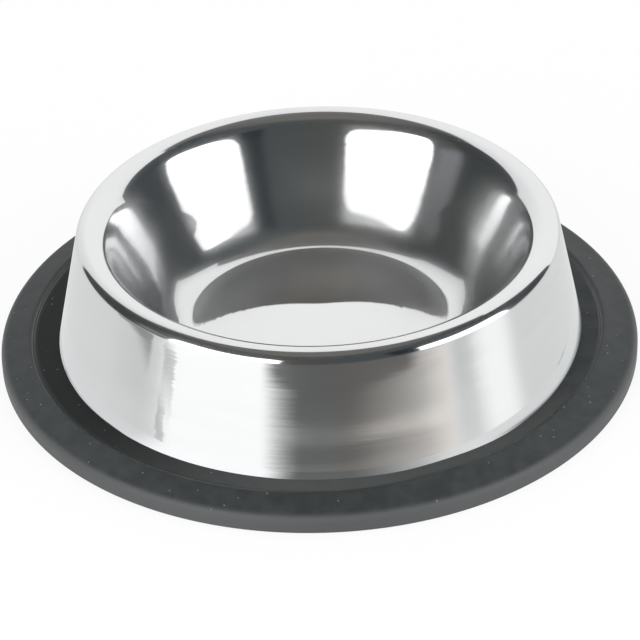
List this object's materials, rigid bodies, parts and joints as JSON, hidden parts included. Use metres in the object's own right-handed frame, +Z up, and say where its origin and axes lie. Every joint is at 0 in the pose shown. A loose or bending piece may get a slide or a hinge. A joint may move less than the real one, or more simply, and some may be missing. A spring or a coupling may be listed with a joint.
{
  "type": "stainless steel cat bowl",
  "caption": "Round drawn steel pet bowl with a rolled rim, a conical skirt and a black rubber ring that grips its flange and stops it sliding.",
  "frame": {"origin": "on the ground at the middle of the rubber ring's foot, the bottom centre of the bounding box", "axes": "+Z up along the bowl's axis of symmetry; X and Y are alike because the bowl is round"},
  "size_m": [0.15, 0.15, 0.033],
  "materials": {
    "polished_steel": "mirror-polished stainless steel with fine polishing lines round the axis",
    "black_rubber": "matt moulded black rubber with a slight sheen on its rounded edge"
  },
  "bodies": {
    "root": {"steel_dish": "polished_steel", "rubber_ring": "black_rubber"}
  },
  "joints": []
}
